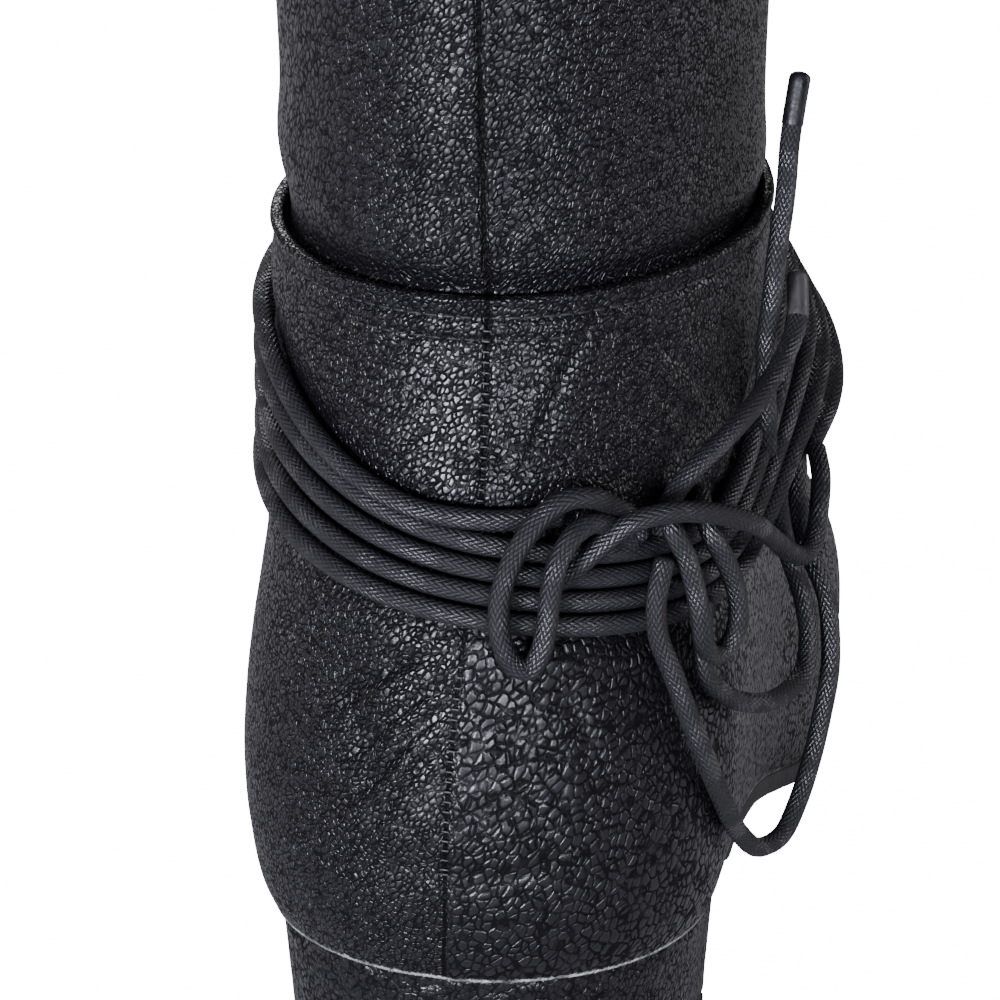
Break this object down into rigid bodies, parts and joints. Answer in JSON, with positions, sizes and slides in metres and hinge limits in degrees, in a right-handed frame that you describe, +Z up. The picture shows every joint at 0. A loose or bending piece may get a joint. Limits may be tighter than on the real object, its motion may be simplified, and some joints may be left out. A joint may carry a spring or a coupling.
{
  "type": "ankle-wrapped leather boot",
  "caption": "Black leather pull-on boot with a covered block heel, a folded-edge quarter under a plain shaft, and a waxed cord wound round the ankle and knotted behind.",
  "frame": {"origin": "on the floor, at the middle of the heel's top lift", "axes": "+Z up, +Y towards the toe, +X towards the wearer's right, the outer side of this right boot"},
  "size_m": [0.1031, 0.2646, 0.2966],
  "materials": {
    "upper_leather": "pebbled grain, half gloss",
    "heel_cover": "pebbled grain, half gloss",
    "rubber": "matte moulded",
    "sole_rubber": "matte, dusty",
    "cord": "waxed braided cotton",
    "insole": "smooth lining leather"
  },
  "bodies": {
    "root": {"upper": "upper_leather", "heel_block": "heel_cover", "heel_top_lift": "rubber", "outsole": "sole_rubber", "insole": "insole", "lace_wraps": "cord", "lace_knot_left": "cord", "lace_knot_right": "cord", "lace_knot_top": "cord", "lace_end_side": "cord", "lace_end_up": "cord", "lace_loop_long": "cord", "lace_loop_short": "cord"}
  },
  "joints": []
}
